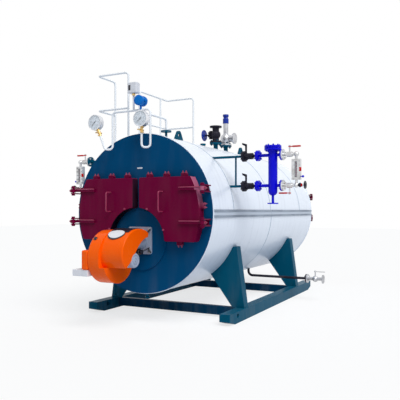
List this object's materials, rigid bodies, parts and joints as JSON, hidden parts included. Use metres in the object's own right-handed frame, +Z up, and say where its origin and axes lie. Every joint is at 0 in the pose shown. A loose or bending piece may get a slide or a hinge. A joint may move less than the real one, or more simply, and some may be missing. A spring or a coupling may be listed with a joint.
{
  "type": "gas oil boiler",
  "caption": "Horizontal fire-tube steam boiler with a gas oil burner, hinged smokebox doors, water level gauges, valves, gauge manifold and walkway rails on a skid.",
  "frame": {"origin": "floor level under the middle of the part's bounding box", "axes": "+Y to the rear along the shell, +X to the right seen from the burner, +Z up"},
  "size_m": [2.827, 4.308, 2.723],
  "materials": {
    "shell": "pale painted sheet",
    "side_bands": "grey strip",
    "front_plate": "teal gloss paint",
    "rear_plate": "teal gloss paint",
    "furnace_cover": "teal gloss paint",
    "hinge_brackets": "gloss paint",
    "rear_doors": "gloss paint",
    "flue_outlet": "paint",
    "burner_flange": "cast",
    "burner_neck": "cast",
    "burner_drum": "gloss paint",
    "burner_hood": "gloss",
    "burner_motor": "light grey paint",
    "burner_side_box": "gloss paint",
    "terminal_boxes": "white plastic",
    "right_rail": "teal gloss paint",
    "left_rail": "teal gloss paint",
    "cross_beams": "teal gloss paint",
    "front_saddle": "teal gloss paint",
    "rear_saddle": "teal gloss paint",
    "lifting_lugs": "teal gloss paint",
    "top_nozzles": "teal gloss paint",
    "steam_valve_body": "black paint",
    "steam_handwheel": "blue paint",
    "safety_valve_body": "cast steel",
    "safety_cap": "blue paint",
    "gauge_manifold": "white paint",
    "gauge_cocks": "plain brass",
    "right_pressure_gauge": "steel case",
    "left_pressure_gauge": "steel case",
    "pressure_switch": "white plastic",
    "pressure_transmitter": "blue paint",
    "front_railing": "white paint",
    "rear_railing": "white paint",
    "level_pipes": "teal gloss paint",
    "column_valves": "black paint",
    "upper_column_lever": "black paint",
    "lower_column_lever": "black paint",
    "water_column": "royal blue gloss paint",
    "right_gauge_cocks": "steel",
    "right_gauge_glass": "steel frame",
    "right_upper_cock_lever": "red paint",
    "right_lower_cock_lever": "red paint",
    "right_drain_wheel": "black paint",
    "left_gauge_cocks": "steel",
    "left_gauge_glass": "steel frame",
    "left_upper_cock_lever": "red paint",
    "left_lower_cock_lever": "red paint",
    "left_drain_wheel": "black paint",
    "blowdown_pipe": "black paint",
    "blowdown_valve": "steel",
    "blowdown_lever": "steel",
    "drain_pipes": "teal gloss paint",
    "right_door": "gloss paint",
    "right_door_lining": "refractory concrete",
    "right_door_handle": "gloss paint",
    "left_door": "gloss paint",
    "left_door_lining": "refractory concrete",
    "left_door_handle": "gloss paint"
  },
  "bodies": {
    "boiler": {"shell": "shell", "side_bands": "side_bands", "front_plate": "front_plate", "rear_plate": "rear_plate", "furnace_cover": "furnace_cover", "hinge_brackets": "hinge_brackets", "rear_doors": "rear_doors", "flue_outlet": "flue_outlet", "burner_flange": "burner_flange", "burner_neck": "burner_neck", "burner_drum": "burner_drum", "burner_hood": "burner_hood", "burner_motor": "burner_motor", "burner_side_box": "burner_side_box", "terminal_boxes": "terminal_boxes", "right_rail": "right_rail", "left_rail": "left_rail", "cross_beams": "cross_beams", "front_saddle": "front_saddle", "rear_saddle": "rear_saddle", "lifting_lugs": "lifting_lugs", "top_nozzles": "top_nozzles", "steam_valve_body": "steam_valve_body", "safety_valve_body": "safety_valve_body", "safety_cap": "safety_cap", "gauge_manifold": "gauge_manifold", "gauge_cocks": "gauge_cocks", "right_pressure_gauge": "right_pressure_gauge", "left_pressure_gauge": "left_pressure_gauge", "pressure_switch": "pressure_switch", "pressure_transmitter": "pressure_transmitter", "front_railing": "front_railing", "rear_railing": "rear_railing", "level_pipes": "level_pipes", "column_valves": "column_valves", "water_column": "water_column", "right_gauge_cocks": "right_gauge_cocks", "right_gauge_glass": "right_gauge_glass", "right_drain_wheel": "right_drain_wheel", "left_gauge_cocks": "left_gauge_cocks", "left_gauge_glass": "left_gauge_glass", "left_drain_wheel": "left_drain_wheel", "blowdown_pipe": "blowdown_pipe", "blowdown_valve": "blowdown_valve", "drain_pipes": "drain_pipes"},
    "right_door": {"right_door": "right_door", "right_door_lining": "right_door_lining", "right_door_handle": "right_door_handle"},
    "left_door": {"left_door": "left_door", "left_door_lining": "left_door_lining", "left_door_handle": "left_door_handle"},
    "steam_wheel": {"steam_handwheel": "steam_handwheel"},
    "upper_column_lever": {"upper_column_lever": "upper_column_lever"},
    "lower_column_lever": {"lower_column_lever": "lower_column_lever"},
    "right_upper_cock_lever": {"right_upper_cock_lever": "right_upper_cock_lever"},
    "right_lower_cock_lever": {"right_lower_cock_lever": "right_lower_cock_lever"},
    "left_upper_cock_lever": {"left_upper_cock_lever": "left_upper_cock_lever"},
    "left_lower_cock_lever": {"left_lower_cock_lever": "left_lower_cock_lever"},
    "blowdown_lever": {"blowdown_lever": "blowdown_lever"}
  },
  "joints": [
    {"name": "right_door_hinge", "type": "hinge", "parent": "boiler", "child": "right_door", "pos_m": [0.5755, -1.714, 1.172], "axis": [0, 0, 1], "range_deg": [0, 110]},
    {"name": "left_door_hinge", "type": "hinge", "parent": "boiler", "child": "left_door", "pos_m": [-1.0405, -1.714, 1.172], "axis": [0, 0, -1], "range_deg": [0, 110]},
    {"name": "steam_wheel_turn", "type": "hinge", "parent": "boiler", "child": "steam_wheel", "pos_m": [-0.2325, 0.224, 2.244], "axis": [-1, 0, 0], "range_deg": [0, 1440]},
    {"name": "upper_column_lever_turn", "type": "hinge", "parent": "boiler", "child": "upper_column_lever", "pos_m": [0.7895, -1.039, 1.785], "axis": [0, 1, 0], "range_deg": [0, 90]},
    {"name": "lower_column_lever_turn", "type": "hinge", "parent": "boiler", "child": "lower_column_lever", "pos_m": [0.7895, -1.039, 1.465], "axis": [0, 1, 0], "range_deg": [0, 90]},
    {"name": "right_upper_cock_turn", "type": "hinge", "parent": "boiler", "child": "right_upper_cock_lever", "pos_m": [1.2415, -1.039, 1.785], "axis": [0, 0, -1], "range_deg": [0, 90]},
    {"name": "right_lower_cock_turn", "type": "hinge", "parent": "boiler", "child": "right_lower_cock_lever", "pos_m": [1.2415, -1.039, 1.465], "axis": [0, 0, 1], "range_deg": [0, 90]},
    {"name": "left_upper_cock_turn", "type": "hinge", "parent": "boiler", "child": "left_upper_cock_lever", "pos_m": [-1.2415, -1.276, 1.785], "axis": [0, 0, 1], "range_deg": [0, 90]},
    {"name": "left_lower_cock_turn", "type": "hinge", "parent": "boiler", "child": "left_lower_cock_lever", "pos_m": [-1.2415, -1.276, 1.465], "axis": [0, 0, -1], "range_deg": [0, 90]},
    {"name": "blowdown_lever_turn", "type": "hinge", "parent": "boiler", "child": "blowdown_lever", "pos_m": [1.0515, 0.624, 0.292], "axis": [0, 0, -1], "range_deg": [0, 90]}
  ]
}
